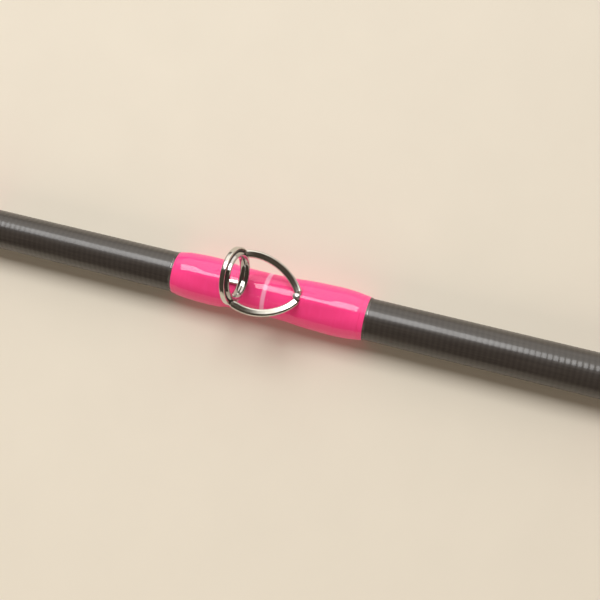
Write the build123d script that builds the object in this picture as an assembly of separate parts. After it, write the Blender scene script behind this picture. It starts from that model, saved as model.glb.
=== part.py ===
from build123d import *
import math
import os

# One joining section of a multi-piece fishing rod, with its line guide.
# The rod lies along X: its socket mouth is at X = 0 and the tip end points along -X.
# The guide stands up along +Z. All sizes are in millimetres.

# ---- rod blank and its joint ----
section_length = 212.0      # socket mouth to tip end, without the spigot
butt_diameter = 10.72       # outside, at the socket mouth
tip_diameter = 9.4          # outside, at the tip end
blank_wall = 1.0            # between the socket and the spigot seat
socket_diameter = 8.7       # parallel bore that takes the next section's spigot
socket_depth = 46.0
spigot_diameter = 7.3
spigot_seat = 45.0          # length bonded inside the blank
spigot_reach = 44.0         # length that stands out of the blank
spigot_wall = 1.25
spigot_relief = 0.3         # the bonded half is ground down this much, which leaves a shoulder
spigot_bond = 0.1           # adhesive round the bonded half
spigot_nose = 0.5           # chamfer round the spigot's free end
plug_length = 4.0           # soft plug that closes the spigot's free end

# ---- whippings and their coats ----
thread_thickness = 0.12     # one layer of thread
end_whip_length = 20.0
end_whip_margin = 1.5       # from the blank's end face to the first turn of thread
end_coat_thickness = 0.35   # over the thread at each end
end_coat_slope = 3.0        # length of its rounded shoulders, in thicknesses
coat_rim_slope = (0.3, 1.0) # direction in which a coat leaves its rim: along, outwards
coat_lap = 0.6              # how far a coat runs past its thread

# ---- line guide, measured from the ring centre along X ----
guide_distance = 116.0      # socket mouth to the ring centre
ring_clearance = 1.35       # blank surface to the lowest point of the hoop
ring_tilt = 10.5            # degrees, top of the ring towards the tip
hoop_diameter = 13.9
hoop_thickness = 0.75
hoop_width = 1.25
hoop_edge = 0.22            # rounding along the hoop's rims
cushion_thickness = 0.3     # soft ring between the hoop and the insert
ring_bore = 9.0
insert_width = 2.5
insert_shoulder = 0.5       # radial height of the insert's flat seat above its rounded bore
front_foot_root = 4.5       # where the front whipping starts
front_foot_length = 9.0
rear_foot_root = 15.0       # where the rear whipping starts
rear_foot_length = 11.5
foot_width = 2.0
foot_tip_width = 0.9
foot_thickness = 0.9
foot_middle_thickness = 0.56
foot_tip_thickness = 0.16
foot_cement = 0.06          # adhesive under each foot
foot_crown = 1.4            # radius across the top of each foot
tent_sink = 0.04            # how far the thread's flanks start below the round surface
whip_overrun = 3.0          # thread past the tip of each foot
underwrap_margin = 1.25     # underwrap past the end of each foot's whipping
coat_hump = 0.96            # fullest coat over the feet, with its thread, above the blank
coat_waist = 0.28           # the same between the feet
coat_front_rise = 3.5       # length over which the coat rises from its tip end
coat_back_rise = 4.2        # the same from its butt end
leg_width = 1.0
leg_thickness = 0.85        # at the front foot
leg_hoop_share = 0.7        # of that thickness, where the leg meets the hoop's back rim
neck_length = 1.1           # rear foot's raised neck, in front of its whipping
neck_width = 3.4            # where the arms land on it
neck_lift = 0.75            # how far the neck rises above the foot
neck_depth = 0.85           # share of the foot's thickness that the neck takes up
arm_landing = 0.4           # share of the neck's length that the arms reach along it
arm_width = 1.85            # across each arm, at the ring
arm_depth = 1.25
arm_root_width = 1.8        # across each arm, at the rear foot
arm_edge = 0.42             # rounding along the arms
arm_bulge = 2.3             # how far the arms' curve is pulled out past the hoop
arm_bulge_place = 0.42      # where along the arm, as a share of its run
arm_waist = 0.81            # spread further along, as a share of the spread at the ring
arm_waist_place = 0.84
arm_sag = 0.8               # how far the arms dip below their slanting plane before the foot
arm_root_gap = 0.6          # share of an arm's root width from the middle to its centre line
arm_setback = 0.3           # share of the hoop's width from the ring centre to the arms' start
arm_drop = 0.18             # share of the hoop's radius that they start below the ring centre
arm_overlap = 0.7           # share of the neck's length that the centre lines run over it
arm_landing_lift = 0.2      # share of the neck's lift at which they end
weld_radius = 0.62          # weld in the crotch of the two arms
weld_height = 0.75
weld_centre = 0.45          # from the middle of the neck's lift down to the weld's centre
braze_radius = 0.425        # braze in the corner between the front leg and the hoop
braze_offset = 0.13         # from that corner to the braze's centre, forwards and up
crest_cover = 0.3           # resin over the thread on top of each foot
crest_setback = 0.9         # how far the resin runs past the root of each foot
crest_root_share = 0.75     # share of the foot's thickness that the resin reaches there
crest_full_place = 1.6      # from the foot's root to where the resin is at its fullest

# ---- places and radii that follow from the sizes above ----
guide_x = -guide_distance
socket_radius = socket_diameter / 2
spigot_radius = spigot_diameter / 2
bonded_radius = spigot_radius - spigot_relief
seat_radius = bonded_radius + spigot_bond
spigot_hollow = spigot_radius - spigot_wall
spigot_inner_x = spigot_seat - section_length
spigot_free_x = -section_length - spigot_reach
hoop_radius = hoop_diameter / 2
cushion_radius = hoop_radius - hoop_thickness
insert_radius = cushion_radius - cushion_thickness
bore_radius = ring_bore / 2
two_layers = 2 * thread_thickness


def blank_radius(x):
    """Outside radius of the tapered blank at a place along the rod."""
    share = -x / section_length
    return (butt_diameter + (tip_diameter - butt_diameter) * share) / 2


ring_height = blank_radius(guide_x) + ring_clearance + hoop_radius
ring_axis = Vector(1, 0, 0).rotate(Axis.Y, -ring_tilt)
ring_place = Plane(origin=(guide_x, 0, ring_height), x_dir=(0, 1, 0), z_dir=ring_axis)


# ---- shapes that many pieces share ----
def turned(points):
    """Solid of revolution about X from a closed outline of (x, radius) points."""
    return revolve(make_face(Polyline(*points, close=True)), axis=Axis.X)


def core(x_low, x_high, offset):
    """Solid cone that follows the blank's taper at a distance outside its surface."""
    low = blank_radius(x_low) + offset
    high = blank_radius(x_high) + offset
    return turned([(x_low, 0), (x_low, low), (x_high, high), (x_high, 0)])


def sleeve(x_low, x_high, inside, outside):
    """Thin tube that follows the blank's taper between two distances from its surface."""
    low = blank_radius(x_low)
    high = blank_radius(x_high)
    return turned([(x_low, low + inside), (x_low, low + outside),
                   (x_high, high + outside), (x_high, high + inside)])


def ring_turned(outline):
    """Solid of revolution about the guide ring's own axis, in place."""
    return ring_place * revolve(Plane.XZ * make_face(outline), axis=Axis.Z)


def tent_section(x, rise, crown):
    """Section of thread or resin stretched over a foot: a rounded crest with tangent flanks."""
    base = blank_radius(x) + thread_thickness
    centre = base + rise - crown
    round_radius = base - tent_sink
    lean = math.acos((round_radius - crown) / centre)
    crest_y = crown * math.sin(lean)
    crest_z = centre + crown * math.cos(lean)
    foot_y = round_radius * math.sin(lean)
    foot_z = round_radius * math.cos(lean)
    outline = [ThreePointArc((-crest_y, crest_z), (0, centre + crown), (crest_y, crest_z)),
               Line((crest_y, crest_z), (foot_y, foot_z)),
               Line((foot_y, foot_z), (-foot_y, foot_z)),
               Line((-foot_y, foot_z), (-crest_y, crest_z))]
    section = make_face(outline)
    return Plane(origin=(x, 0, 0), x_dir=(0, 1, 0), z_dir=(1, 0, 0)) * section


def tent(stations, crown):
    """Loft of tent sections; each station is (x, rise above the underwrap)."""
    sections = [tent_section(x, rise, crown) for x, rise in sorted(stations)]
    return loft(sections)


# ---- rod joint ----
def make_blank():
    shoulder_x = -socket_depth
    outline = [(0, socket_radius), (0, blank_radius(0)),
               (-section_length, blank_radius(-section_length)), (-section_length, seat_radius),
               (spigot_inner_x, seat_radius),
               (spigot_inner_x, blank_radius(spigot_inner_x) - blank_wall),
               (shoulder_x, blank_radius(shoulder_x) - blank_wall), (shoulder_x, socket_radius)]
    return turned(outline)


def make_spigot():
    outline = [(spigot_inner_x, spigot_hollow), (spigot_inner_x, bonded_radius),
               (-section_length, bonded_radius), (-section_length, spigot_radius),
               (spigot_free_x + spigot_nose, spigot_radius),
               (spigot_free_x, spigot_radius - spigot_nose), (spigot_free_x, spigot_hollow)]
    return turned(outline)


def make_spigot_bond():
    return turned([(-section_length, bonded_radius), (-section_length, seat_radius),
                   (spigot_inner_x, seat_radius), (spigot_inner_x, bonded_radius)])


def make_spigot_plug():
    return turned([(spigot_free_x, 0), (spigot_free_x, spigot_hollow),
                   (spigot_free_x + plug_length, spigot_hollow), (spigot_free_x + plug_length, 0)])


# ---- whippings at the two ends of the section ----
def end_whip_span(at_tip):
    """Low and high X of the thread at one end of the section."""
    if at_tip:
        start = -section_length + end_whip_margin
        return start, start + end_whip_length
    return -end_whip_margin - end_whip_length, -end_whip_margin


def make_end_whip(at_tip):
    low, high = end_whip_span(at_tip)
    return sleeve(low, high, 0, thread_thickness)


def make_end_coat(at_tip):
    low, high = end_whip_span(at_tip)
    first = low - coat_lap
    last = high + coat_lap
    full = thread_thickness + end_coat_thickness
    shoulder = end_coat_slope * full
    along, outwards = coat_rim_slope
    low_rim = (first, blank_radius(first) + thread_thickness)
    low_top = (first + shoulder, blank_radius(first + shoulder) + full)
    high_top = (last - shoulder, blank_radius(last - shoulder) + full)
    high_rim = (last, blank_radius(last) + thread_thickness)
    outline = [Spline(low_rim, low_top, tangents=[(along, outwards), (1, 0)]),
               Line(low_top, high_top),
               Spline(high_top, high_rim, tangents=[(1, 0), (along, -outwards)]),
               Polyline(high_rim, (last, 0), (first, 0), low_rim)]
    body = revolve(make_face(outline), axis=Axis.X)
    return body - core(first, last, 0) - make_end_whip(at_tip)


# ---- feet, legs and arms of the guide ----
def foot_span(front):
    """Root X, tip X and the direction from root to tip of one foot."""
    if front:
        root = guide_x - front_foot_root
        return root, root - front_foot_length, -1
    root = guide_x + rear_foot_root
    return root, root + rear_foot_length, 1


def foot_top(front):
    """Height of a foot's top at its root."""
    root = foot_span(front)[0]
    return blank_radius(root) + thread_thickness + foot_cement + foot_thickness


def foot_tent(front, offset):
    """Space under the foot's thread, grown outwards by an offset."""
    root, tip, way = foot_span(front)
    base = foot_cement + offset
    stations = [(root, base + foot_thickness),
                ((root + tip) / 2, base + foot_middle_thickness),
                (tip, base + foot_tip_thickness),
                (tip + way * whip_overrun / 2, offset + foot_cement / 2)]
    return tent(stations, foot_crown + offset)


def foot_plan(front):
    """Tapered outline of a foot seen from above, drawn out into a tall block."""
    root, tip, way = foot_span(front)
    nose = foot_tip_width / 2
    half = foot_width / 2
    taper_start = root + (tip - root) / 3
    nose_x = tip - way * nose
    outline = [Polyline((nose_x, -nose), (taper_start, -half), (root, -half), (root, half),
                        (taper_start, half), (nose_x, nose)),
               ThreePointArc((nose_x, nose), (tip, 0), (nose_x, -nose))]
    return extrude(make_face(outline), amount=ring_height)


def make_foot_blade(front):
    """The flat of a foot that lies under the thread."""
    root, tip = foot_span(front)[:2]
    low = min(root, tip) - foot_width
    high = max(root, tip) + foot_width
    blade = foot_tent(front, 0) & foot_plan(front)
    return blade - core(low, high, thread_thickness + foot_cement)


def side_block(points, width):
    """Prism across the rod from a side outline of (x, z) points."""
    face = Plane.XZ * make_face(Polyline(*points, close=True))
    return extrude(face, amount=width / 2, both=True)


def make_front_leg():
    """Front foot and the short leg that runs from it to the underside of the hoop."""
    root = foot_span(True)[0]
    top = foot_top(True)
    front_rim = hoop_bottom(-1)
    back_rim = hoop_bottom(1)
    overlap = hoop_edge     # drawn into the hoop's rounded rims, then cut to fit them
    outline = [(root, top), (front_rim.X, front_rim.Z + overlap), (back_rim.X, back_rim.Z + overlap),
               (back_rim.X, back_rim.Z - leg_thickness * leg_hoop_share),
               (front_rim.X, front_rim.Z - leg_thickness), (root, top - leg_thickness)]
    leg = side_block(outline, leg_width)
    return make_foot_blade(True) + (leg - ring_bulk())


def make_rear_foot():
    root = foot_span(False)[0]
    top = foot_top(False)
    neck_x = root - neck_length
    low = top - foot_thickness * neck_depth
    outline = [(root, top), (root, low), (neck_x, low), (neck_x, top + neck_lift)]
    plan = make_face(Polyline((neck_x, -neck_width / 2), (root, -foot_width / 2), (root, foot_width / 2),
                              (neck_x, neck_width / 2), close=True))
    neck = side_block(outline, neck_width) & extrude(plan, amount=ring_height)
    return make_foot_blade(False) + neck


def ring_bulk():
    """Everything inside the hoop's outer surface, for cutting what meets the hoop."""
    half = hoop_width / 2
    outline = Polyline((0, -half), (hoop_radius, -half), (hoop_radius, half), (0, half), close=True)
    return ring_turned(outline)


def hoop_bottom(side):
    """Lowest point of the hoop's front rim (side -1) or back rim (side 1)."""
    return ring_place.from_local_coords(Vector(0, -hoop_radius, side * hoop_width / 2))


def make_hoop():
    low = hoop_radius - hoop_thickness
    section = Pos((low + hoop_radius) / 2, 0) * RectangleRounded(hoop_thickness, hoop_width, hoop_edge)
    return ring_place * revolve(Plane.XZ * section, axis=Axis.Z)


def arm_path():
    """Centre line of the arm on the +Y side, dipping a little below the arms' slanting plane."""
    root = foot_span(False)[0]
    start = Vector(guide_x + hoop_width * arm_setback, 0, ring_height - hoop_radius * arm_drop)
    end = Vector(root - neck_length * arm_overlap, 0, foot_top(False) + neck_lift * arm_landing_lift)
    slope = end - start
    plane = Plane(origin=start, x_dir=slope, z_dir=slope.cross(Vector(0, 1, 0)))
    run = slope.length
    side = hoop_radius - arm_width / 2
    curve = Bezier((0, side, 0), (run * arm_bulge_place, side + arm_bulge, -arm_sag / 2),
                   (run * arm_waist_place, side * arm_waist, -arm_sag),
                   (run, arm_root_width * arm_root_gap, 0))
    return plane, plane * curve


def make_arm():
    plane, path = arm_path()
    sections = []
    for where, width in ((0, arm_width), (1, arm_root_width)):
        along = path % where
        upward = plane.z_dir - along * plane.z_dir.dot(along)
        place = Plane(origin=path @ where, x_dir=upward, z_dir=along)
        sections.append(place * RectangleRounded(arm_depth, width, arm_edge))
    return sweep(sections, path=path, multisection=True)


def make_guide_frame(foot):
    """Hoop with its two arms, which sweep back and meet at the rear foot."""
    arm = make_arm()
    deep = 2 * hoop_width
    hole = ring_turned(Polyline((0, -deep), (cushion_radius, -deep), (cushion_radius, deep), (0, deep),
                                close=True))
    frame = make_hoop() + (arm - hole) + (mirror(arm, about=Plane.XZ) - hole)
    land_x = foot_span(False)[0] - neck_length * (1 - arm_landing)
    size = 2 * hoop_diameter
    behind = Pos(land_x + size / 2, 0, ring_height) * Box(size, size, size)
    return frame - foot - behind


def make_arm_weld(foot, frame):
    """Weld that fills the crotch between the two arms, in front of the rear foot."""
    neck_x = foot_span(False)[0] - neck_length
    centre_z = foot_top(False) + neck_lift / 2 - weld_centre
    bead = Pos(neck_x, 0, centre_z) * Cylinder(weld_radius, weld_height)
    return bead - foot - frame


def make_leg_braze(leg):
    """Fillet of braze in the corner between the front leg and the hoop's front rim."""
    corner = hoop_bottom(-1)
    place = Pos(corner.X - braze_offset, 0, corner.Z + braze_offset)
    bead = place * Rot(90, 0, 0) * Cylinder(braze_radius, leg_width)
    return bead - ring_bulk() - leg


# ---- ring ----
def make_ring_cushion():
    half = hoop_width / 2
    return ring_turned(Polyline((insert_radius, -half), (cushion_radius, -half),
                                (cushion_radius, half), (insert_radius, half), close=True))


def make_ring_insert():
    half = insert_width / 2
    seat = hoop_width / 2
    shoulder = insert_radius - insert_shoulder
    outline = [ThreePointArc((shoulder, -half), (bore_radius, 0), (shoulder, half)),
               Line((shoulder, half), (insert_radius, seat)),
               Line((insert_radius, seat), (insert_radius, -seat)),
               Line((insert_radius, -seat), (shoulder, -half))]
    return ring_turned(outline)


# ---- whippings, resin and coat of the guide ----
def foot_whip_span(front):
    root, tip, way = foot_span(front)
    end = tip + way * whip_overrun
    return min(root, end), max(root, end)


def underwrap_span():
    """Low and high X of the thread that lies under both feet."""
    front_low, front_high = foot_whip_span(True)
    rear_low, rear_high = foot_whip_span(False)
    return front_low - underwrap_margin, rear_high + underwrap_margin


def make_underwrap():
    low, high = underwrap_span()
    return sleeve(low, high, 0, thread_thickness)


def under_thread(front):
    """Everything inside the thread that binds a foot."""
    low, high = foot_whip_span(front)
    return core(low, high, thread_thickness) + foot_tent(front, 0)


def over_thread(front):
    """Everything inside the outer face of the thread that binds a foot."""
    low, high = foot_whip_span(front)
    return core(low, high, two_layers) + foot_tent(front, thread_thickness)


def make_foot_whip(front):
    return over_thread(front) - under_thread(front)


def make_foot_cement(front):
    low, high = foot_whip_span(front)
    pad = core(low, high, thread_thickness + foot_cement) - core(low, high, thread_thickness)
    return (pad & foot_plan(front)) & foot_tent(front, 0)


def coat_outline():
    """Points along the coat's round outer surface, from its tip end to its butt end."""
    low, high = underwrap_span()
    first = low - coat_lap
    last = high + coat_lap
    front_root, front_tip, way = foot_span(True)
    rear_root, rear_tip, way = foot_span(False)
    waist = rear_root - front_root
    stations = [(first, thread_thickness),
                (first + coat_front_rise * 0.4, coat_hump * 0.44),
                (first + coat_front_rise, coat_hump * 0.76),
                ((front_root + front_tip) / 2, coat_hump),
                (front_root - front_foot_length * 0.12, coat_hump * 0.88),
                (front_root + waist * 0.06, coat_hump * 0.42),
                (front_root + waist * 0.2, coat_waist),
                (front_root + waist * 0.6, coat_waist),
                (rear_root - waist * 0.18, coat_waist * 1.4),
                (rear_root, coat_hump * 0.73),
                (rear_root + rear_foot_length * 0.3, coat_hump * 0.89),
                (rear_root + rear_foot_length * 0.75, coat_hump),
                (last - coat_back_rise, coat_hump * 0.8),
                (last - coat_back_rise * 0.38, coat_hump * 0.44),
                (last, thread_thickness)]
    return [(x, blank_radius(x) + thickness) for x, thickness in stations]


def coat_crest(front):
    """Ridge of the coat over one foot."""
    root, tip, way = foot_span(front)
    cover = thread_thickness + crest_cover
    stations = [(root - way * crest_setback, foot_cement + foot_thickness * crest_root_share),
                (root, foot_cement + foot_thickness + cover * crest_root_share),
                (root + way * crest_full_place, foot_cement + foot_thickness + cover),
                ((root + tip) / 2, foot_cement + foot_middle_thickness + cover),
                (tip, foot_cement + foot_tip_thickness + cover)]
    return tent(stations, foot_crown + 3 * cover)


def make_guide_coat(inside):
    """One pour of resin over the thread, which also fills the tunnels beside the feet."""
    outline = coat_outline()
    first = outline[0][0]
    last = outline[-1][0]
    sides = Polyline(outline[-1], (last, 0), (first, 0), outline[0])
    body = revolve(make_face([Spline(*outline), sides]), axis=Axis.X)
    body = body + coat_crest(True) + coat_crest(False) - core(first - 1, last + 1, 0)
    for piece in inside:
        body = body - piece
    return body


guide_underwrap = make_underwrap()
front_whipping = make_foot_whip(True)
rear_whipping = make_foot_whip(False)
front_cement = make_foot_cement(True)
rear_cement = make_foot_cement(False)
front_leg = make_front_leg()
rear_foot = make_rear_foot()
guide_frame = make_guide_frame(rear_foot)
arm_weld = make_arm_weld(rear_foot, guide_frame)
guide_coat = make_guide_coat([guide_underwrap, front_whipping, rear_whipping, front_cement,
                              rear_cement, front_leg, rear_foot, guide_frame, arm_weld])

pieces = {
    "blank_tube": make_blank(),
    "ferrule_spigot": make_spigot(),
    "spigot_bond": make_spigot_bond(),
    "spigot_plug": make_spigot_plug(),
    "tip_end_whipping": make_end_whip(True),
    "tip_end_coat": make_end_coat(True),
    "socket_end_whipping": make_end_whip(False),
    "socket_end_coat": make_end_coat(False),
    "guide_underwrap": guide_underwrap,
    "front_foot_whipping": front_whipping,
    "rear_foot_whipping": rear_whipping,
    "front_foot_cement": front_cement,
    "rear_foot_cement": rear_cement,
    "guide_coat": guide_coat,
    "guide_frame": guide_frame,
    "guide_front_leg": front_leg,
    "guide_rear_foot": rear_foot,
    "arm_weld": arm_weld,
    "leg_braze": make_leg_braze(front_leg),
    "ring_cushion": make_ring_cushion(),
    "ring_insert": make_ring_insert(),
}

os.makedirs("parts", exist_ok=True)
for name, piece in pieces.items():
    export_step(piece, f"parts/{name}.step")
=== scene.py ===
import bmesh
import bpy
import math
from mathutils import Matrix, Vector, noise


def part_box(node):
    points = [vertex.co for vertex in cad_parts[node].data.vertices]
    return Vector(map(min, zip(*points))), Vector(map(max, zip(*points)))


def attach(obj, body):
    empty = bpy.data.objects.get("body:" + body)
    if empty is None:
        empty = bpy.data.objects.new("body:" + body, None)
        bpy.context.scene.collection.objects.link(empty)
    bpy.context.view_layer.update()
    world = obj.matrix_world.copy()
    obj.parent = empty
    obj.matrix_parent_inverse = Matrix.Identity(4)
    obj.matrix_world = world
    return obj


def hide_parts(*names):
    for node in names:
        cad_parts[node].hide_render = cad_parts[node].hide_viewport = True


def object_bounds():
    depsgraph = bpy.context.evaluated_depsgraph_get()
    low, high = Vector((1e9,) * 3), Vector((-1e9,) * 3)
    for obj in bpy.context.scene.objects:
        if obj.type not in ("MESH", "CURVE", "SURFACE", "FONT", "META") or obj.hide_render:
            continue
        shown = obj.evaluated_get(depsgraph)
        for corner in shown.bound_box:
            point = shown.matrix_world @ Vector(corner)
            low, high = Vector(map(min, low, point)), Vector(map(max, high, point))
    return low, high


# A joining section of a fishing rod with its line guide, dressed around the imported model.
# The rod lies along X with its socket mouth at X = 0; the guide stands up along +Z.

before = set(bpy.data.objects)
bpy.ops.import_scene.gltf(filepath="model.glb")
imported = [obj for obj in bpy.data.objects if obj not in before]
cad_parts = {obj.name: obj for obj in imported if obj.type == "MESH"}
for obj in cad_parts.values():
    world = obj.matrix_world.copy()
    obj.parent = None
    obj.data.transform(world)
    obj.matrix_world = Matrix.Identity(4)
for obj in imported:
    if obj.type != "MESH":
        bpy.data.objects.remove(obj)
cadBox = [list(corner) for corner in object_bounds()]
mm = 0.001
print("frame loaded,", len(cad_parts), "nodes")


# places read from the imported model, in millimetres
def spanOf(node, axis=0):
    low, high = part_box(node)
    return low[axis] / mm, high[axis] / mm


ringLow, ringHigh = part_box("ring_insert")
ringX = (ringLow.x + ringHigh.x) / 2 / mm
ringZ = (ringLow.z + ringHigh.z) / 2 / mm
tipX = spanOf("blank_tube")[0]
spigotEnd = spanOf("ferrule_spigot")[0]
frontLow, frontHigh = spanOf("front_foot_whipping")
rearLow, rearHigh = spanOf("rear_foot_whipping")

rod = dict(buttRadius=5.36, tipRadius=4.7, wall=1.0, socketRadius=4.35, socketDepth=46.0,
           seatRadius=3.45, seatDepth=45.0, edge=0.16,
           ridgePitch=1.36, ridgeDepth=0.02, ridgeLean=0.68, drift=0.35, driftAlong=0.06, driftAround=3,
           rowsPerRidge=9, around=64)

# narrow ring where the two halves of the guide's dressing meet, as a share of the gap between the feet
join = dict(place=0.533, groove=0.05, grooveReach=0.42, paleHalf=0.36, paleFade=0.3, rows=40, rowsReach=1.3)
joinX = frontHigh + (rearLow - frontHigh) * join["place"]


def blankRadius(x):
    return rod["buttRadius"] + (rod["tipRadius"] - rod["buttRadius"]) * x / tipX


# mesh helpers, working in millimetres
def steppedValue(stations, x):
    # smooth curve through (place, value) stations, which never overshoots them
    if x <= stations[0][0]:
        return stations[0][1]
    if x >= stations[-1][0]:
        return stations[-1][1]
    k = max(i for i in range(len(stations) - 1) if stations[i][0] <= x)

    def slope(i):
        return (stations[i + 1][1] - stations[i][1]) / (stations[i + 1][0] - stations[i][0])

    def tangent(i):
        if i == 0 or i == len(stations) - 1:
            return slope(0) if i == 0 else slope(i - 1)
        before, after = slope(i - 1), slope(i)
        return 0 if before * after <= 0 else 2 * before * after / (before + after)

    gap = stations[k + 1][0] - stations[k][0]
    t = (x - stations[k][0]) / gap
    return ((2 * t**3 - 3 * t**2 + 1) * stations[k][1] + (t**3 - 2 * t**2 + t) * gap * tangent(k)
            + (3 * t**2 - 2 * t**3) * stations[k + 1][1] + (t**3 - t**2) * gap * tangent(k + 1))


def evenly(low, high, count):
    return [low + (high - low) * i / (count - 1) for i in range(count)]


def smoothMax(a, b, soft):
    h = max(soft - abs(a - b), 0) / soft
    return max(a, b) + h * h * soft / 4


def meshPiece(name, points, faces, material, nodes=(), sharp=35):
    mesh = bpy.data.meshes.new(name)
    mesh.from_pydata([[c * mm for c in p] for p in points], [], faces)
    mesh.validate()
    solid = bmesh.new()
    solid.from_mesh(mesh)
    if solid.calc_volume(signed=True) < 0:
        mesh.flip_normals()
    solid.free()
    mesh.shade_smooth()
    mesh.set_sharp_from_angle(angle=math.radians(sharp))
    piece = bpy.data.objects.new(name, mesh)
    bpy.context.scene.collection.objects.link(piece)
    piece.data.materials.append(material)
    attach(piece, "root")
    if nodes:
        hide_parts(*nodes)
    return piece


def loopGrid(rows, closed=True):
    # quads between neighbouring rows of points; each row is a loop
    points = [p for row in rows for p in row]
    count = len(rows[0])
    faces = []
    last = len(rows) if closed else len(rows) - 1
    for r in range(last):
        a, b = r * count, (r + 1) % len(rows) * count
        for c in range(count):
            d = (c + 1) % count
            faces.append((a + c, a + d, b + d, b + c))
    return points, faces


def cappedGrid(rows):
    # the same for an open stack of loops, with its two ends closed
    points, faces = loopGrid(rows, closed=False)
    count = len(rows[0])
    faces.append(tuple(range(count)))
    faces.append(tuple(reversed(range(len(points) - count, len(points)))))
    return points, faces


def turnedRow(x, radius, around):
    # one loop round the rod; radius is a number or a function of the angle from +Z
    row = []
    for i in range(around):
        angle = 2 * math.pi * i / around
        r = radius(angle) if callable(radius) else radius
        row.append((x, r * math.sin(angle), r * math.cos(angle)))
    return row


def wander(x, angle, along, around):
    # smooth unevenness from about -1 to 1 over a round skin
    return noise.noise(Vector((x * along, around * math.sin(angle), around * math.cos(angle))))


def turnedPiece(name, outline, material, nodes, around=96, closed=True, sharp=35):
    # outline of (x, radius) points turned round the rod; radii can be functions of the angle
    rows = [turnedRow(x, r, around) for x, r in outline]
    points, faces = loopGrid(rows) if closed else cappedGrid(rows)
    return meshPiece(name, points, faces, material, nodes, sharp)


def tentRadius(angle, base, top, crown):
    # distance from the rod's axis to a skin stretched over a round of radius base and a crest of radius crown
    centre = top - crown
    if centre <= 0 or base - crown >= centre:
        return base
    lean = math.acos(max(-1, (base - crown) / centre))
    angle = abs((angle + math.pi) % (2 * math.pi) - math.pi)
    if angle >= lean:
        return base
    touch = math.atan2(crown * math.sin(lean), centre + crown * math.cos(lean))
    if angle >= touch:
        return base / math.cos(angle - lean)
    return centre * math.cos(angle) + math.sqrt(crown**2 - (centre * math.sin(angle))**2)


# node groups that several finishes share
def newGroup(name, inputs, outputs):
    group = bpy.data.node_groups.new(name, "ShaderNodeTree")
    for label, kind, value in inputs:
        made = group.interface.new_socket(label, in_out="INPUT", socket_type=kind)
        made.default_value = value
    for label, kind in outputs:
        group.interface.new_socket(label, in_out="OUTPUT", socket_type=kind)
    return group, group.nodes.new("NodeGroupInput"), group.nodes.new("NodeGroupOutput")


def mathNode(tree, operation, a, b=None):
    node = tree.nodes.new("ShaderNodeMath")
    node.operation = operation
    for socket, value in zip(node.inputs, (a, b)):
        if hasattr(value, "is_output"):
            tree.links.new(value, socket)
        elif value is not None:
            socket.default_value = value
    return node.outputs[0]


def placeOn(tree):
    # the object's own X, Y and Z, in metres
    where = tree.nodes.new("ShaderNodeTexCoord")
    split = tree.nodes.new("ShaderNodeSeparateXYZ")
    tree.links.new(where.outputs["Object"], split.inputs[0])
    return split.outputs


def stretched(tree, scale):
    # object coordinates stretched by scale
    where = tree.nodes.new("ShaderNodeTexCoord")
    mapping = tree.nodes.new("ShaderNodeMapping")
    mapping.inputs["Scale"].default_value = scale
    tree.links.new(where.outputs["Object"], mapping.inputs["Vector"])
    return mapping.outputs["Vector"]


def ramped(tree, source, low, high, toLow=0.0, toHigh=1.0):
    # source brought from the range low..high to toLow..toHigh, and held at its ends
    node = tree.nodes.new("ShaderNodeMapRange")
    for label, value in (("From Min", low), ("From Max", high), ("To Min", toLow), ("To Max", toHigh)):
        node.inputs[label].default_value = value
    tree.links.new(source, node.inputs["Value"])
    return node.outputs["Result"]


def noiseNode(tree, vector, scale, detail):
    node = tree.nodes.new("ShaderNodeTexNoise")
    node.inputs["Scale"].default_value = scale
    node.inputs["Detail"].default_value = detail
    node.inputs["Roughness"].default_value = 0.55
    tree.links.new(vector, node.inputs["Vector"])
    return node.outputs["Fac"]


def makeHandlingGroup():
    # fine rubbing marks and soft smudges left by handling
    group, start, end = newGroup(
        "handling", [("Scale", "NodeSocketFloat", 1.0), ("Smudge", "NodeSocketFloat", 0.05)],
        [("Roughness", "NodeSocketFloat"), ("Marks", "NodeSocketFloat")])
    scaled = group.nodes.new("ShaderNodeVectorMath")
    scaled.operation = "SCALE"
    group.links.new(stretched(group, (1, 1, 1)), scaled.inputs[0])
    group.links.new(start.outputs["Scale"], scaled.inputs["Scale"])
    smudge = noiseNode(group, scaled.outputs[0], 90, 4)
    marks = noiseNode(group, scaled.outputs[0], 1400, 2)
    blotches = ramped(group, smudge, 0.4, 0.72)
    total = mathNode(group, "MULTIPLY", blotches, start.outputs["Smudge"])
    group.links.new(total, end.inputs["Roughness"])
    group.links.new(ramped(group, marks, 0.35, 0.65), end.inputs["Marks"])
    return group


def makeTurnsGroup():
    # grooves that wind round the rod: one turn per pitch, in metres
    group, start, end = newGroup(
        "turns", [("Pitch", "NodeSocketFloat", 0.001), ("Unevenness", "NodeSocketFloat", 0.1)],
        [("Crown", "NodeSocketFloat"), ("Streak", "NodeSocketFloat")])
    place = placeOn(group)
    turn = mathNode(group, "DIVIDE", mathNode(group, "ARCTAN2", place["Y"], place["Z"]), 2 * math.pi)
    along = mathNode(group, "DIVIDE", place["X"], start.outputs["Pitch"])
    wobble = noiseNode(group, stretched(group, (40, 400, 400)), 1.0, 2)
    wobble = mathNode(group, "MULTIPLY", wobble, start.outputs["Unevenness"])
    phase = mathNode(group, "ADD", mathNode(group, "ADD", along, turn), wobble)
    wave = mathNode(group, "SINE", mathNode(group, "MULTIPLY", phase, 2 * math.pi))
    # Crown is 1 on the top of each turn and 0 in the groove; where it sets a colour it paints light on the tops
    # and shade in the grooves
    group.links.new(ramped(group, wave, -1, 1), end.inputs["Crown"])
    streak = noiseNode(group, stretched(group, (3000, 300, 300)), 1.0, 2)
    group.links.new(ramped(group, streak, 0.3, 0.7), end.inputs["Streak"])
    return group


handlingGroup = makeHandlingGroup()
turnsGroup = makeTurnsGroup()


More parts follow.
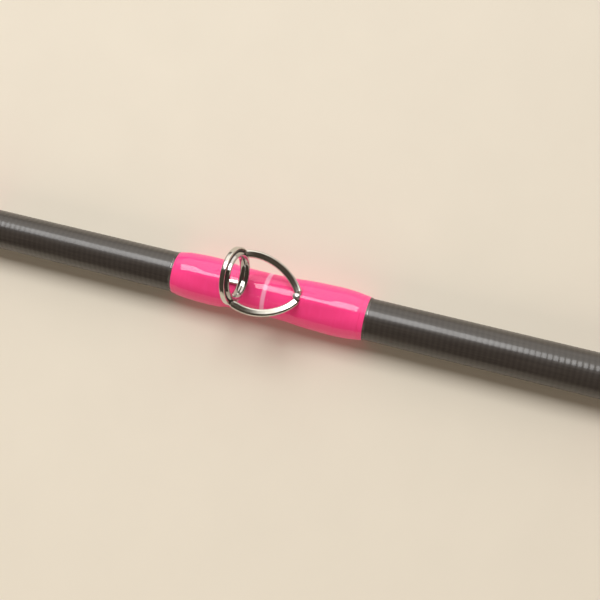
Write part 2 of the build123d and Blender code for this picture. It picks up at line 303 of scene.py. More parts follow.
def newMaterial(name, **values):
    material = bpy.data.materials.new(name)
    material.use_nodes = True
    tree = material.node_tree
    shader = tree.nodes["Principled BSDF"]
    for label, value in values.items():
        shader.inputs[label.replace("_", " ")].default_value = value
    return material, tree, shader


def groupNode(tree, group, **values):
    node = tree.nodes.new("ShaderNodeGroup")
    node.node_tree = group
    for label, value in values.items():
        node.inputs[label].default_value = value
    return node


def mixColours(tree, factor, first, second):
    node = tree.nodes.new("ShaderNodeMix")
    node.data_type = "RGBA"
    tree.links.new(factor, node.inputs["Factor"])
    for label, value in (("A", first), ("B", second)):
        socket = [s for s in node.inputs if s.name == label and s.type == "RGBA"][0]
        if hasattr(value, "is_output"):
            tree.links.new(value, socket)
        else:
            socket.default_value = (*value, 1)
    return [s for s in node.outputs if s.type == "RGBA"][0]


def addBump(tree, shader, height, strength, distance):
    # distance in metres
    bump = tree.nodes.new("ShaderNodeBump")
    bump.inputs["Strength"].default_value = strength
    bump.inputs["Distance"].default_value = distance
    tree.links.new(height, bump.inputs["Height"])
    tree.links.new(bump.outputs["Normal"], shader.inputs["Normal"])


# finishes
def makeCarbon():
    look = dict(dark=(0.025, 0.02, 0.017), light=(0.05, 0.041, 0.035), rough=0.34,
                fibreShare=0.65, ridgeShadeShare=0.35, smudge=0.12)
    material, tree, shader = newMaterial("carbonLaminate", Coat_Weight=0.5, Coat_Roughness=0.13,
                                         Coat_IOR=1.5, Specular_IOR_Level=0.4)
    turns = groupNode(tree, turnsGroup, Pitch=rod["ridgePitch"] * mm, Unevenness=0.12)
    fibres = noiseNode(tree, stretched(tree, (60, 2600, 2600)), 1.0, 4)
    blend = mathNode(tree, "MULTIPLY", ramped(tree, fibres, 0.3, 0.7), look["fibreShare"])
    # painted light and shade: the winding wave paints the tape ridges' crowns lighter and their troughs darker
    ridgeShading = mathNode(tree, "MULTIPLY", turns.outputs["Crown"], look["ridgeShadeShare"])
    blend = mathNode(tree, "ADD", blend, ridgeShading)
    tree.links.new(mixColours(tree, blend, look["dark"], look["light"]), shader.inputs["Base Color"])
    handling = groupNode(tree, handlingGroup, Scale=1.0, Smudge=look["smudge"])
    rough = mathNode(tree, "ADD", handling.outputs["Roughness"], look["rough"])
    tree.links.new(rough, shader.inputs["Roughness"])
    addBump(tree, shader, fibres, 0.15, 0.00002)
    return material


def makeSpigotCarbon():
    look = dict(dark=(0.016, 0.015, 0.015), light=(0.045, 0.043, 0.042), grindShare=0.6, fibreShare=0.4,
                smooth=0.36, rough=0.55)
    material, tree, shader = newMaterial("groundCarbon", Specular_IOR_Level=0.45)
    grinding = noiseNode(tree, stretched(tree, (5200, 120, 120)), 1.0, 4)
    fibres = noiseNode(tree, stretched(tree, (80, 3000, 3000)), 1.0, 3)
    blend = mathNode(tree, "ADD", mathNode(tree, "MULTIPLY", grinding, look["grindShare"]),
                     mathNode(tree, "MULTIPLY", fibres, look["fibreShare"]))
    colour = mixColours(tree, ramped(tree, blend, 0.35, 0.65), look["dark"], look["light"])
    tree.links.new(colour, shader.inputs["Base Color"])
    rough = ramped(tree, grinding, 0.3, 0.7, look["smooth"], look["rough"])
    tree.links.new(rough, shader.inputs["Roughness"])
    addBump(tree, shader, grinding, 0.35, 0.00003)
    return material


def makeThread():
    # groove and crown: the pink with painted shade in the grooves between turns and painted light on the tops
    # of the turns
    look = dict(groove=(0.9, 0.036, 0.18), crown=(1.0, 0.075, 0.3), pale=(0.96, 0.36, 0.56), pitch=0.17,
                base=0.3, turnShadeShare=0.5, streakShare=0.25)
    material, tree, shader = newMaterial("pinkThread", Roughness=0.6, Specular_IOR_Level=0.03)
    turns = groupNode(tree, turnsGroup, Pitch=look["pitch"] * mm, Unevenness=0.05)
    # painted shade: the winding wave darkens the grooves between turns and lightens their tops
    blend = mathNode(tree, "MULTIPLY", turns.outputs["Crown"], look["turnShadeShare"])
    streaks = mathNode(tree, "MULTIPLY", turns.outputs["Streak"], look["streakShare"])
    blend = mathNode(tree, "ADD", mathNode(tree, "ADD", blend, streaks), look["base"])
    colour = mixColours(tree, blend, look["groove"], look["crown"])
    # the thread's colour is paler in a narrow ring at the join
    away = mathNode(tree, "ABSOLUTE", mathNode(tree, "SUBTRACT", placeOn(tree)["X"], joinX * mm))
    paleRing = ramped(tree, away, (join["paleHalf"] + join["paleFade"]) * mm, join["paleHalf"] * mm)
    tree.links.new(mixColours(tree, paleRing, colour, look["pale"]), shader.inputs["Base Color"])
    twist = noiseNode(tree, stretched(tree, (6000, 1500, 1500)), 1.0, 2)
    addBump(tree, shader, twist, 0.2, 0.00002)
    return material


def makeResin():
    # clear and glossy; light for the thread under it passes straight through
    material, tree, shader = newMaterial("clearResin", Base_Color=(1, 0.985, 0.965, 1), Roughness=0.02,
                                         IOR=1.5, Transmission_Weight=1.0)
    ripple = noiseNode(tree, stretched(tree, (160, 420, 420)), 1.0, 2)
    addBump(tree, shader, ripple, 0.1, 0.00004)
    path = tree.nodes.new("ShaderNodeLightPath")
    clear = tree.nodes.new("ShaderNodeBsdfTransparent")
    seen = shader.outputs[0]
    for ray in ("Is Diffuse Ray", "Is Shadow Ray"):
        mix = tree.nodes.new("ShaderNodeMixShader")
        tree.links.new(path.outputs[ray], mix.inputs[0])
        tree.links.new(seen, mix.inputs[1])
        tree.links.new(clear.outputs[0], mix.inputs[2])
        seen = mix.outputs[0]
    tree.links.new(seen, tree.nodes["Material Output"].inputs["Surface"])
    return material


def makeMetal(name, colour, rough, smudge):
    material, tree, shader = newMaterial(name, Metallic=1.0)
    handling = groupNode(tree, handlingGroup, Scale=1.6, Smudge=smudge)
    brushed = noiseNode(tree, stretched(tree, (700, 700, 700)), 1.0, 3)
    worn = [c * 0.86 for c in colour]  # a little duller in patches
    shade = mixColours(tree, ramped(tree, brushed, 0.35, 0.7), worn, colour)
    tree.links.new(shade, shader.inputs["Base Color"])
    tree.links.new(mathNode(tree, "ADD", handling.outputs["Roughness"], rough), shader.inputs["Roughness"])
    addBump(tree, shader, handling.outputs["Marks"], 0.06, 0.00001)
    return material


def makeSpeckled(name, low, high, rough, grain):
    # plain plastics, rubber and glue: a fine speckle between two colours
    material, tree, shader = newMaterial(name, Specular_IOR_Level=0.4)
    speckle = noiseNode(tree, stretched(tree, (1, 1, 1)), grain, 3)
    tree.links.new(mixColours(tree, ramped(tree, speckle, 0.3, 0.7), low, high), shader.inputs["Base Color"])
    tree.links.new(ramped(tree, speckle, 0.3, 0.7, rough, rough + 0.15), shader.inputs["Roughness"])
    addBump(tree, shader, speckle, 0.3, 0.00003)
    return material


carbon = makeCarbon()
spigotCarbon = makeSpigotCarbon()
pinkThread = makeThread()
clearResin = makeResin()
steel = makeMetal("polishedSteel", (0.72, 0.7, 0.65), 0.12, 0.1)
ringSteel = makeMetal("ringSteel", (0.55, 0.53, 0.51), 0.07, 0.06)
brazeMetal = makeMetal("brazeMetal", (0.72, 0.7, 0.68), 0.3, 0.15)
cushionPlastic = makeSpeckled("cushionPlastic", (0.012, 0.011, 0.011), (0.03, 0.028, 0.027), 0.4, 1800)
plugRubber = makeSpeckled("plugRubber", (0.014, 0.014, 0.014), (0.035, 0.034, 0.033), 0.6, 900)
adhesive = makeSpeckled("adhesive", (0.36, 0.26, 0.12), (0.5, 0.38, 0.2), 0.3, 1200)
print("finishes made")


# rod blank
def ridgeHeight(x, angle):
    # one lap of shrink tape: a slow rise and a quick fall, winding along the rod
    turn = (x / rod["ridgePitch"] + angle / (2 * math.pi)) % 1
    lean = rod["ridgeLean"]
    wave = 0.5 - 0.5 * math.cos(math.pi * (turn / lean if turn < lean else (1 - turn) / (1 - lean)))
    drift = wander(x, angle, rod["driftAlong"], rod["driftAround"])
    return rod["ridgeDepth"] * (wave - 1) * (1 + rod["drift"] * drift)


def ridgedRadius(x):
    return lambda angle: blankRadius(x) + ridgeHeight(x, angle)


def buildBlank():
    edge = rod["edge"]

    def eased(angle):
        # how far a point of a rounded edge lies in from each of its two faces
        bend = math.radians(angle)
        return edge * (1 - math.sin(bend)), edge * (1 - math.cos(bend))

    count = int((-tipX - 2 * edge) / rod["ridgePitch"] * rod["rowsPerRidge"])
    outline = [(x, ridgedRadius(x)) for x in evenly(tipX + edge, -edge, count)]
    outline += [(-a, blankRadius(0) - b) for a, b in map(eased, (30, 60, 90))]
    outline += [(-b, rod["socketRadius"] + a) for a, b in map(eased, (0, 45, 90))]
    shoulder = -rod["socketDepth"]
    seat = tipX + rod["seatDepth"]
    outline += [(shoulder / 2, rod["socketRadius"]), (shoulder, rod["socketRadius"]),
                (shoulder, blankRadius(shoulder) - rod["wall"]), (seat, blankRadius(seat) - rod["wall"]),
                (seat, rod["seatRadius"]), (tipX, rod["seatRadius"])]
    outline += [(tipX + a, blankRadius(tipX) - b) for a, b in map(eased, (90, 60, 30))]
    return turnedPiece("blankTube", outline, carbon, ["blank_tube"], around=rod["around"])


# spigot and its plug
spigot = dict(radius=3.65, bonded=3.35, hollow=2.4, nose=0.5, noseCurve=1.6, bevel=0.1,
              drag=0.02, dragPitch=3.1, plain=0.3, rows=160)
plug = dict(ease=0.15, back=0.3, dimple=(0.42, 0.12),
            face=((0.4, 0), (0.12, 0.1), (0.02, 0.35), (0.02, 0.8), (0.35, 1.05), (0.45, 1.4)))


def buildSpigot():
    inner = tipX + rod["seatDepth"]
    radius, hollow, nose = spigot["radius"], spigot["hollow"], spigot["nose"]
    outline = [(inner, spigot["bonded"]), (tipX, spigot["bonded"]), (tipX, radius)]
    # faint rings left by grinding and by many joinings
    for x in evenly(tipX - spigot["plain"], spigotEnd + nose + spigot["plain"], spigot["rows"]):
        wear = noise.noise(Vector((x * spigot["dragPitch"], 0, 0))) - 1
        outline.append((x, radius + spigot["drag"] * wear * 0.5))
    for share in evenly(0, 1, 5):
        outline.append((spigotEnd + nose * (1 - share), radius - nose * share**spigot["noseCurve"]))
    outline += [(spigotEnd, hollow + spigot["bevel"]), (spigotEnd + spigot["bevel"], hollow), (inner, hollow)]
    outline.reverse()
    turnedPiece("ferruleSpigot", outline, spigotCarbon, ["ferrule_spigot"])


def buildPlug():
    low, high = spanOf("spigot_plug")
    radius, ease = spigot["hollow"], plug["ease"]
    dimpleDepth, dimpleShare = plug["dimple"]
    outline = [(high, radius * plug["back"]), (high, radius - ease), (high - ease, radius)]
    # the free face: depth below the plug's end, and distance in from its side
    outline += [(low + depth, radius - inwards) for depth, inwards in plug["face"]]
    outline.append((low + dimpleDepth, radius * dimpleShare))
    outline.reverse()
    turnedPiece("spigotPlug", outline, plugRubber, ["spigot_plug"], around=64, closed=False)


# thread
winding = dict(layer=0.12, pitch=0.17, relief=0.016, tuck=0.04, sink=0.06, rows=5, around=72)


def windingHeight(x, angle):
    turn = x / winding["pitch"] + angle / (2 * math.pi)
    return -winding["relief"] * (0.5 - 0.5 * math.cos(2 * math.pi * turn))


def wrapPiece(name, node, outer, inner):
    # a wound sleeve between two radius functions of (x, angle)
    low, high = spanOf(node)
    count = int((high - low) / winding["pitch"] * winding["rows"])
    outline = [(low, lambda a: inner(low, a))]
    for x in evenly(low, high, count):
        tuck = winding["tuck"] if x in (low, high) else 0
        outline.append((x, lambda a, x=x, t=tuck: outer(x, a) + windingHeight(x, a) - t))
    outline.append((high, lambda a: inner(high, a)))
    return turnedPiece(name, outline, pinkThread, [node], around=winding["around"], sharp=80)


def wrappedRadius(x, angle):
    return blankRadius(x) + winding["layer"]


def sunkRadius(x, angle):
    return blankRadius(x) - winding["sink"]


# feet, shared by the thread, the coat and the metal
foot = dict(cement=0.06, root=0.9, middle=0.56, tip=0.16, past=0.03, crown=1.4, overrun=3.0,
            width=2.0, tipWidth=0.9, rows=24, columns=9, edge=0.05)
frontFoot = dict(root=frontHigh, tip=frontLow + foot["overrun"], way=-1)
rearFoot = dict(root=rearLow, tip=rearHigh - foot["overrun"], way=1)


def footRise(which, x):
    # height of a foot's top above the underwrap
    length = abs(which["tip"] - which["root"])
    along = (x - which["root"]) * which["way"]
    stations = [(0, foot["root"]), (length / 2, foot["middle"]), (length, foot["tip"]),
                (length + foot["overrun"] / 2, foot["past"]), (length + foot["overrun"], 0)]
    return foot["cement"] + steppedValue(stations, along)


def footSkin(which, layers, offset):
    # the round of so many layers of thread, stretched over a foot raised by offset
    def radius(x, angle):
        base = blankRadius(x) + winding["layer"] * layers
        top = blankRadius(x) + winding["layer"] + footRise(which, x) + offset
        return tentRadius(angle, base, max(top, base), foot["crown"] + offset)
    return radius


def buildGuideThread():
    wrapPiece("guideUnderwrap", "guide_underwrap", wrappedRadius, sunkRadius)
    for name, node, which in (("frontFootWhipping", "front_foot_whipping", frontFoot),
                              ("rearFootWhipping", "rear_foot_whipping", rearFoot)):
        wrapPiece(name, node, footSkin(which, 2, winding["layer"]), footSkin(which, 1, 0))


def buildEndThread():
    for name, node in (("tipEndWhipping", "tip_end_whipping"), ("socketEndWhipping", "socket_end_whipping")):
        wrapPiece(name, node, wrappedRadius, sunkRadius)


# resin coats
coat = dict(hump=0.96, waist=0.28, frontRise=3.5, backRise=4.2, rim=0.03, lip=0.35, lipHeight=0.17,
            cover=0.42, setback=0.9, crown=2.6, meet=0.16, below=0.02, sink=0.1,
            ripple=0.012, rippleAlong=0.16, rippleAround=2.2, fade=2, around=128, rows=320)
endCoat = dict(thickness=0.35, lip=0.3, lipHeight=0.22, shoulder=0.9, shoulderShare=0.86, rise=1.8,
               ripple=0.012, rippleAlong=0.3, rippleAround=2, fade=2, around=112, rows=120)


def coatThickness(x, first, last):
    # the round part of the guide's coat: a hump over each foot and a waist between them
    front, rear = frontFoot["root"], rearFoot["root"]
    gap = rear - front
    rearLength = rearFoot["tip"] - rear
    hump, waist, lip = coat["hump"], coat["waist"], coat["lip"]
    frontRise, backRise = coat["frontRise"], coat["backRise"]
    stations = [(first, coat["rim"]), (first + lip, coat["lipHeight"]),
                (first + frontRise * 0.4, hump * 0.44), (first + frontRise, hump * 0.76),
                ((front + frontFoot["tip"]) / 2, hump), (front - 1.1, hump * 0.88),
                (front + gap * 0.06, hump * 0.42), (front + gap * 0.2, waist * 1.08),
                (front + gap * 0.52, waist * 0.9), (rear - gap * 0.18, waist * 1.4),
                (rear, hump * 0.73), (rear + rearLength * 0.3, hump * 0.89),
                (rear + rearLength * 0.75, hump), (last - backRise, hump * 0.8),
                (last - backRise * 0.38, hump * 0.44), (last - lip, coat["lipHeight"]), (last, coat["rim"])]
    return steppedValue(stations, x) - join["groove"] * math.exp(-((x - joinX) / join["grooveReach"])**2)


def crestRadius(which, x, angle):
    # the ridge of resin over one foot, and the small collar where the metal leaves it
    length = abs(which["tip"] - which["root"])
    along = (x - which["root"]) * which["way"]
    cover, setback = coat["cover"], coat["setback"]
    stations = [(-setback - 1.2, 0.0), (-setback, foot["root"] * 0.62), (0, foot["root"] + cover * 0.7),
                (1.6, foot["root"] + cover), (length / 2, foot["middle"] + cover),
                (length, foot["tip"] + cover), (length + 2.2, 0.15), (length + 4, 0.0)]
    rise = foot["cement"] + steppedValue(stations, along)
    base = wrappedRadius(x, angle)
    return tentRadius(angle, base, base + rise, coat["crown"])


def fadeAtEnds(x, first, last, length):
    return max(0, min(1, (x - first) / length, (last - x) / length))


def coatPiece(name, node, places, outer, around):
    # a coat from its outer skin; its rims and its inside lie a little below the blank's surface
    front, back = [(x, blankRadius(x) - coat["sink"]) for x in (places[0], places[-1])]
    outline = [front] + [(x, outer(x)) for x in places] + [back]
    return turnedPiece(name, outline, clearResin, [node], around=around, sharp=60)


def buildGuideCoat():
    first, last = spanOf("guide_coat")

    def outer(x):
        plain = blankRadius(x) + coatThickness(x, first, last)

        def radius(angle):
            ripple = coat["ripple"] * wander(x, angle, coat["rippleAlong"], coat["rippleAround"])
            crest = max(crestRadius(frontFoot, x, angle), crestRadius(rearFoot, x, angle))
            skin = smoothMax(plain, crest, coat["meet"]) - coat["below"]
            return skin + ripple * fadeAtEnds(x, first, last, coat["fade"])
        return radius

    places = evenly(first, last, coat["rows"])
    places += evenly(joinX - join["rowsReach"], joinX + join["rowsReach"], join["rows"])
    return coatPiece("guideCoat", "guide_coat", sorted(places), outer, coat["around"])


def buildEndCoat(name, node):
    first, last = spanOf(node)
    full = winding["layer"] + endCoat["thickness"]
    shoulder = full * endCoat["shoulderShare"]
    rise = [(0, coat["rim"]), (endCoat["lip"], endCoat["lipHeight"]), (endCoat["shoulder"], shoulder),
            (endCoat["rise"], full)]
    stations = [(first + along, height) for along, height in rise]
    stations += [(last - along, height) for along, height in reversed(rise)]

    def outer(x):
        def radius(angle):
            ripple = endCoat["ripple"] * (wander(x, angle, endCoat["rippleAlong"], endCoat["rippleAround"]) - 1)
            return (blankRadius(x) + steppedValue(stations, x)
                    + ripple * fadeAtEnds(x, first, last, endCoat["fade"]))
        return radius

    return coatPiece(name, node, evenly(first, last, endCoat["rows"]), outer, endCoat["around"])


# ring and frame of the guide
hoop = dict(radius=6.95, thickness=0.75, width=1.25, edge=0.24, tilt=10.5, around=128)
cushion = dict(thickness=0.3, tuck=0.06, lap=0.1, edge=0.06, around=96)
insert = dict(bore=4.5, reach=1.25, belly=0.78, lip=0.14, lipDrop=0.22, brow=0.03, browRise=0.9,
              seatSlope=0.06, seatStep=0.1, steps=16, around=128)
tilt = math.radians(hoop["tilt"])
ringAxis = Vector((math.cos(tilt), 0, math.sin(tilt)))
ringUp = Vector((-math.sin(tilt), 0, math.cos(tilt)))
ringCentre = Vector((ringX, 0, ringZ))


def ringPoint(along, radius, angle):
    # a place from the ring's own axis; angle 0 is its top
    outward = ringUp * math.cos(angle) + Vector((0, 1, 0)) * math.sin(angle)
    return ringCentre + ringAxis * along + outward * radius


def ringRows(outline, around):
    return [[ringPoint(a, r, 2 * math.pi * i / around) for i in range(around)] for a, r in outline]


def roundedBox(width, height, edge, steps=4):
    # section outline centred on zero, corners rounded
    points = []
    for cx, cy, start in ((1, 1, 0), (-1, 1, 90), (-1, -1, 180), (1, -1, 270)):
        for i in range(steps + 1):
            angle = math.radians(start + 90 * i / steps)
            points.append((cx * (width / 2 - edge) + edge * math.cos(angle),
                           cy * (height / 2 - edge) + edge * math.sin(angle)))
    return points


def buildCushion():
    inner = hoop["radius"] - hoop["thickness"]
    section = [(a, r + inner - cushion["thickness"] / 2) for a, r in
               roundedBox(hoop["width"] - 2 * cushion["tuck"], cushion["thickness"] + cushion["lap"],
                          cushion["edge"], 2)]
    points, faces = loopGrid(ringRows(section, cushion["around"]))
    meshPiece("ringCushion", points, faces, cushionPlastic, ["ring_cushion"])


def buildInsert():
    # a round belly that the line runs over, and a stepped seat outside it
    outer = hoop["radius"] - hoop["thickness"] - cushion["thickness"]
    half = hoop["width"] / 2
    reach, bore = insert["reach"], insert["bore"]
    section = []
    for i in range(insert["steps"] + 1):
        angle = math.radians(-90 + 180 * i / insert["steps"])
        section.append((reach * math.sin(angle), bore + insert["belly"] * (1 - math.cos(angle))))
    side = [(reach - insert["brow"], bore + insert["browRise"]),
            (reach - insert["lip"], outer - insert["lipDrop"]),
            (half + insert["seatStep"], outer - insert["seatSlope"]), (half - insert["seatSlope"], outer)]
    section += side + [(-a, r) for a, r in reversed(side)]
    points, faces = loopGrid(ringRows(section, insert["around"]))
    meshPiece("ringInsert", points, faces, ringSteel, ["ring_insert"])


# arms, neck, leg and feet
arm = dict(width=1.85, rootWidth=1.8, depth=1.25, edge=0.44, crown=0.06, shave=0.02,
           setback=0.3, drop=0.18, bulge=2.3, bulgePlace=0.42, waist=0.81, waistPlace=0.84,
           rootGap=0.6, overlap=0.7, landing=0.2, sag=0.8, roll=20.0, slimBy=0.2, slimReach=0.08, steps=48)
neck = dict(length=1.1, width=3.4, lift=0.75, depth=0.85, slope=1.3, bevel=0.3, flat=0.7, lap=0.2, rows=7)
leg = dict(width=1.0, thickness=0.85, hoopShare=0.7, edge=0.2, crown=0.1, lap=0.3, short=0.05, rows=10)
bead = dict(x=-101.95, y=0.1, z=6.38, length=1.0, half=0.85, rise=0.62, lumps=0.15, lumpScale=1.7,
            end=0.98, rows=18, around=28)


def footTop(which):
    return wrappedRadius(which["root"], 0) + foot["cement"] + foot["root"]


def crowned(section, width, crown):
    # the same section with its top falling away towards its edges
    return [(a, b - crown * (2 * a / width)**2 if b > 0 else b) for a, b in section]


def bezier(points, t):
    s = 1 - t
    weights = (s**3, 3 * s * s * t, 3 * s * t * t, t**3)
    return sum((Vector(p) * w for p, w in zip(points, weights)), Vector((0, 0, 0)))


def armRows(side):
    # sections along one arm, from inside the hoop to the neck; side is 1 or -1
    start = Vector((ringX + hoop["width"] * arm["setback"], 0, ringZ - hoop["radius"] * arm["drop"]))
    end = Vector((rearFoot["root"] - neck["length"] * arm["overlap"], 0,
                  footTop(rearFoot) + neck["lift"] * arm["landing"]))
    slope = end - start
    run = slope.length
    down = slope.normalized()
    across = Vector((0, side, 0))
    proud = down.cross(Vector((0, 1, 0))).normalized()
    spread = hoop["radius"] - arm["width"] / 2
    curve = [(0, spread, 0), (run * arm["bulgePlace"], spread + arm["bulge"], -arm["sag"] / 2),
             (run * arm["waistPlace"], spread * arm["waist"], -arm["sag"]),
             (run, arm["rootWidth"] * arm["rootGap"], 0)]
    rows = []
    for i in range(arm["steps"] + 1):
        t = i / arm["steps"]
        at = bezier(curve, t)
        ahead = bezier(curve, min(t + 0.01, 1)) - bezier(curve, max(t - 0.01, 0))
        ahead = (down * ahead.x + across * ahead.y + proud * ahead.z).normalized()
        up = (proud - ahead * proud.dot(ahead)).normalized()
        roll = Matrix.Rotation(side * math.radians(arm["roll"]) * t, 3, ahead)
        up = roll @ up
        outward = up.cross(ahead)
        width = arm["width"] + (arm["rootWidth"] - arm["width"]) * t
        centre = start + down * at.x + across * at.y + proud * at.z
        # slimmer inside the hoop, so that the arm grows out of it
        slim = 1 - arm["slimBy"] * max(0, 1 - t / arm["slimReach"])**2
        strip = roundedBox(width - arm["shave"], arm["depth"], arm["edge"], 6)
        rows.append([centre + (outward * a + up * b) * slim for a, b in crowned(strip, width, arm["crown"])])
    return rows


def blended(name, parts, material, nodes, voxel=0.05, smooth=3):
    # closed shapes run together into one skin, with their inside corners softened
    mesh = bpy.data.meshes.new(name + "Rough")
    points, faces = [], []
    for morePoints, moreFaces in parts:
        faces += [tuple(i + len(points) for i in face) for face in moreFaces]
        points += [tuple(p) for p in morePoints]
    mesh.from_pydata(points, [], faces)
    rough = bpy.data.objects.new(name + "Rough", mesh)
    bpy.context.scene.collection.objects.link(rough)
    remesh = rough.modifiers.new("oneSkin", "REMESH")
    remesh.mode = "VOXEL"
    remesh.voxel_size = voxel
    remesh.use_smooth_shade = True
    soften = rough.modifiers.new("soften", "SMOOTH")
    soften.factor = 0.5
    soften.iterations = smooth
    final = bpy.data.meshes.new_from_object(rough.evaluated_get(bpy.context.evaluated_depsgraph_get()))
    points = [tuple(v.co) for v in final.vertices]
    faces = [tuple(p.vertices) for p in final.polygons]
    bpy.data.objects.remove(rough)
    return meshPiece(name, points, faces, material, nodes, sharp=70)


def bladeRows(which):
    # the flat of a foot, crowned on top, from its root to its tip
    root, tip = which["root"], which["tip"]
    blade = []
    for x in evenly(root, tip, foot["rows"]):
        share = (x - root) / (tip - root)
        half = (foot["width"] * (1 - share) + foot["tipWidth"] * share) / 2
        floor = wrappedRadius(x, 0) + foot["cement"]
        crest = wrappedRadius(x, 0) + footRise(which, x)
        row = []
        for y in evenly(-half, half, foot["columns"]):
            sag = foot["crown"] - math.sqrt(foot["crown"]**2 - y * y)
            row.append((x, y, max(crest - sag, math.sqrt(floor**2 - y * y) + foot["edge"])))
        for y in evenly(half, -half, foot["columns"]):
            row.append((x, y, math.sqrt(floor**2 - y * y)))
        blade.append(row)
    return blade


def buildFrontFoot():
    # blade under the whipping, and the short leg that climbs from it to the hoop
    root, top, thick = frontFoot["root"], footTop(frontFoot), leg["thickness"]
    near, far = [ringPoint(side * hoop["width"] / 2, hoop["radius"], math.pi) for side in (-1, 1)]
    into = hoop["edge"]
    stations = [(root - leg["lap"], top, thick), (root, top, thick)]
    for share in evenly(0.1, 1, leg["rows"]):
        stations.append((root + (near.x - root) * share, top + (near.z + into - top) * share,
                         thick + into * share))
    stations.append((far.x - leg["short"], far.z + into, thick * leg["hoopShare"] + into))
    rows = []
    for x, high, deep in stations:
        section = crowned(roundedBox(leg["width"], deep, leg["edge"]), leg["width"], leg["crown"])
        rows.append([(x, a, high - deep / 2 + b) for a, b in section])
    return blended("guideFrontFoot", [cappedGrid(bladeRows(frontFoot)), cappedGrid(rows)], steel,
                   ["guide_front_leg"])


def buildRearFoot():
    # blade under the whipping, and in front of it the neck that the arms land on
    root, top = rearFoot["root"], footTop(rearFoot)
    front = root - neck["length"]
    low = top - foot["root"] * neck["depth"]
    bevel, flat = neck["bevel"], neck["flat"]
    block = []
    for share in evenly(0, 1, neck["rows"]):
        x = front + (root + neck["lap"] - front) * share
        half = (neck["width"] * (1 - share) + foot["width"] * share) / 2
        high = top + neck["lift"] * (1 - share)**neck["slope"]
        block.append([(x, y, z) for y, z in ((-half, low), (half, low), (half, high - bevel),
                                             (half * flat, high), (-half * flat, high),
                                             (-half, high - bevel))])
    return blended("guideRearFoot", [cappedGrid(bladeRows(rearFoot)), cappedGrid(block)], steel,
                   ["guide_rear_foot"], voxel=0.06, smooth=4)


def buildWeld():
    # melted bead that runs from the crotch of the arms up over the neck
    rows = []
    for share in evenly(-bead["end"], bead["end"], bead["rows"]):
        reach = math.sqrt(1 - share * share)
        row = []
        for i in range(bead["around"]):
            angle = 2 * math.pi * i / bead["around"]
            y, z = math.cos(angle), math.sin(angle)
            lump = 1 + bead["lumps"] * noise.noise(Vector((share, y, z)) * bead["lumpScale"])
            row.append((bead["x"] + bead["length"] * share, bead["y"] + bead["half"] * reach * y * lump,
                        bead["z"] + bead["rise"] * reach * z * lump))
        rows.append(row)
    return blended("armWeld", [cappedGrid(rows)], brazeMetal, ["arm_weld"])


def buildFrame():
    middle = hoop["radius"] - hoop["thickness"] / 2
    section = [(b, middle + a) for a, b in roundedBox(hoop["thickness"], hoop["width"], hoop["edge"])]
    hoopShape = loopGrid(ringRows(section, hoop["around"]))
    arms = [cappedGrid(armRows(1)), cappedGrid(armRows(-1))]
    return blended("guideFrame", [hoopShape, *arms], steel, ["guide_frame"],
                   voxel=0.08, smooth=5)


buildBlank()
buildSpigot()
buildPlug()
print("rod built")
buildGuideThread()
buildEndThread()
print("thread wound")
buildGuideCoat()
buildEndCoat("tipEndCoat", "tip_end_coat")
buildEndCoat("socketEndCoat", "socket_end_coat")
print("resin poured")
buildCushion()
buildInsert()
buildFrame()
buildFrontFoot()
buildRearFoot()
buildWeld()
print("guide built")

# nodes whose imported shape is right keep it, and get their finish
for node, material in (("leg_braze", brazeMetal), ("spigot_bond", adhesive),
                       ("front_foot_cement", adhesive), ("rear_foot_cement", adhesive)):
    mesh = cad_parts[node].data
    mesh.materials.clear()
    mesh.materials.append(material)


# floor, world, lamps and camera
def makeFloor():
    look = dict(colour=(0.72, 0.66, 0.56), grain=0.05, reach=4.0, corners=9)
    lowest = min(corner[2] for corner in cadBox)
    corners = look["corners"]
    cells = evenly(-look["reach"], look["reach"], corners)
    points = [(x, y, lowest) for x in cells for y in cells]
    starts = [i * corners + j for i in range(corners - 1) for j in range(corners - 1)]
    faces = [(k, k + corners, k + corners + 1, k + 1) for k in starts]
    mesh = bpy.data.meshes.new("floor")
    mesh.from_pydata(points, [], faces)
    floor = bpy.data.objects.new("floor", mesh)
    bpy.context.scene.collection.objects.link(floor)
    material, tree, shader = newMaterial("paleFloor", Roughness=0.75, Specular_IOR_Level=0.2)
    mottled = noiseNode(tree, stretched(tree, (1, 1, 1)), 60, 5)
    darker = [c * (1 - look["grain"]) for c in look["colour"]]
    tree.links.new(mixColours(tree, mottled, darker, look["colour"]), shader.inputs["Base Color"])
    floor.data.materials.append(material)


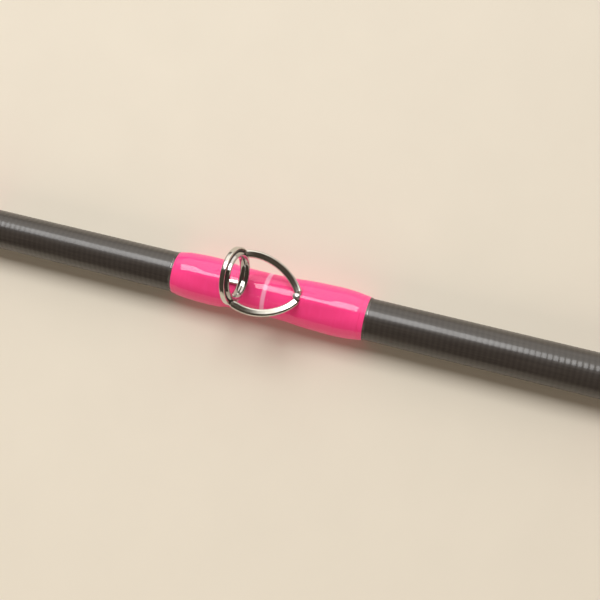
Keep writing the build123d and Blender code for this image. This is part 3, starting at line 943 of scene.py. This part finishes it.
def makeWorld():
    # a dim room with one wide soft glow, towards +Y and up
    room = dict(dim=(0.075, 0.06, 0.046), glow=(1.55, 1.48, 1.36), glowWay=(0.0, 0.77, 0.64),
                glowCore=0.86, glowEdge=0.72)
    world = bpy.data.worlds.new("studio")
    bpy.context.scene.world = world
    world.use_nodes = True
    tree = world.node_tree
    where = tree.nodes.new("ShaderNodeTexCoord")
    towards = tree.nodes.new("ShaderNodeVectorMath")
    towards.operation = "DOT_PRODUCT"
    towards.inputs[1].default_value = room["glowWay"]
    tree.links.new(where.outputs["Generated"], towards.inputs[0])
    glow = ramped(tree, towards.outputs["Value"], room["glowEdge"], room["glowCore"])
    colour = mixColours(tree, glow, room["dim"], room["glow"])
    tree.links.new(colour, tree.nodes["Background"].inputs["Color"])
    tree.nodes["Background"].inputs["Strength"].default_value = 1.0


def addLamp(name, place, size, level, target, warmth=(1, 1, 1), mirrored=True):
    # a flat soft lamp, its first size along X and its second across; level 1 looks like white paper
    lamp = bpy.data.lights.new(name, "AREA")
    lamp.shape = "RECTANGLE"
    lamp.size, lamp.size_y = size
    lamp.energy = level * math.pi * size[0] * size[1]
    lamp.color = warmth
    piece = bpy.data.objects.new(name, lamp)
    bpy.context.scene.collection.objects.link(piece)
    back = (Vector(place) - Vector(target)).normalized()
    across = back.cross(Vector((1, 0, 0))).normalized()
    turn = Matrix((across.cross(back), across, back)).transposed()
    piece.matrix_world = Matrix.Translation(place) @ turn.to_4x4()
    piece.visible_glossy = mirrored
    return piece


def makeLamps():
    lamps = dict(
        keyPanel=dict(place=(-0.25, 0.26, 0.6), size=(0.55, 0.33), level=5.9),
        fillPanel=dict(place=(-0.12, -0.6, 0.35), size=(1.0, 0.5), level=1.25, warmth=(1, 0.88, 0.74),
                       mirrored=False))
    for name, values in lamps.items():
        addLamp(name, target=(ringX * mm, 0, 0), **values)


def makeCamera():
    shot = dict(place=(-52.157, -46.512, 258.278), turn=(0.2218, 0.1365, 0.2722), lens=66.13)
    data = bpy.data.cameras.new("camera")
    data.lens = shot["lens"]
    data.sensor_width = 36
    data.clip_start = 0.01
    camera = bpy.data.objects.new("camera", data)
    bpy.context.scene.collection.objects.link(camera)
    camera.location = [c * mm for c in shot["place"]]
    camera.rotation_euler = shot["turn"]
    bpy.context.scene.camera = camera
    bpy.context.scene.view_settings.view_transform = "Standard"


makeFloor()
makeWorld()
makeLamps()
makeCamera()
print("studio set")

bpy.context.view_layer.update()
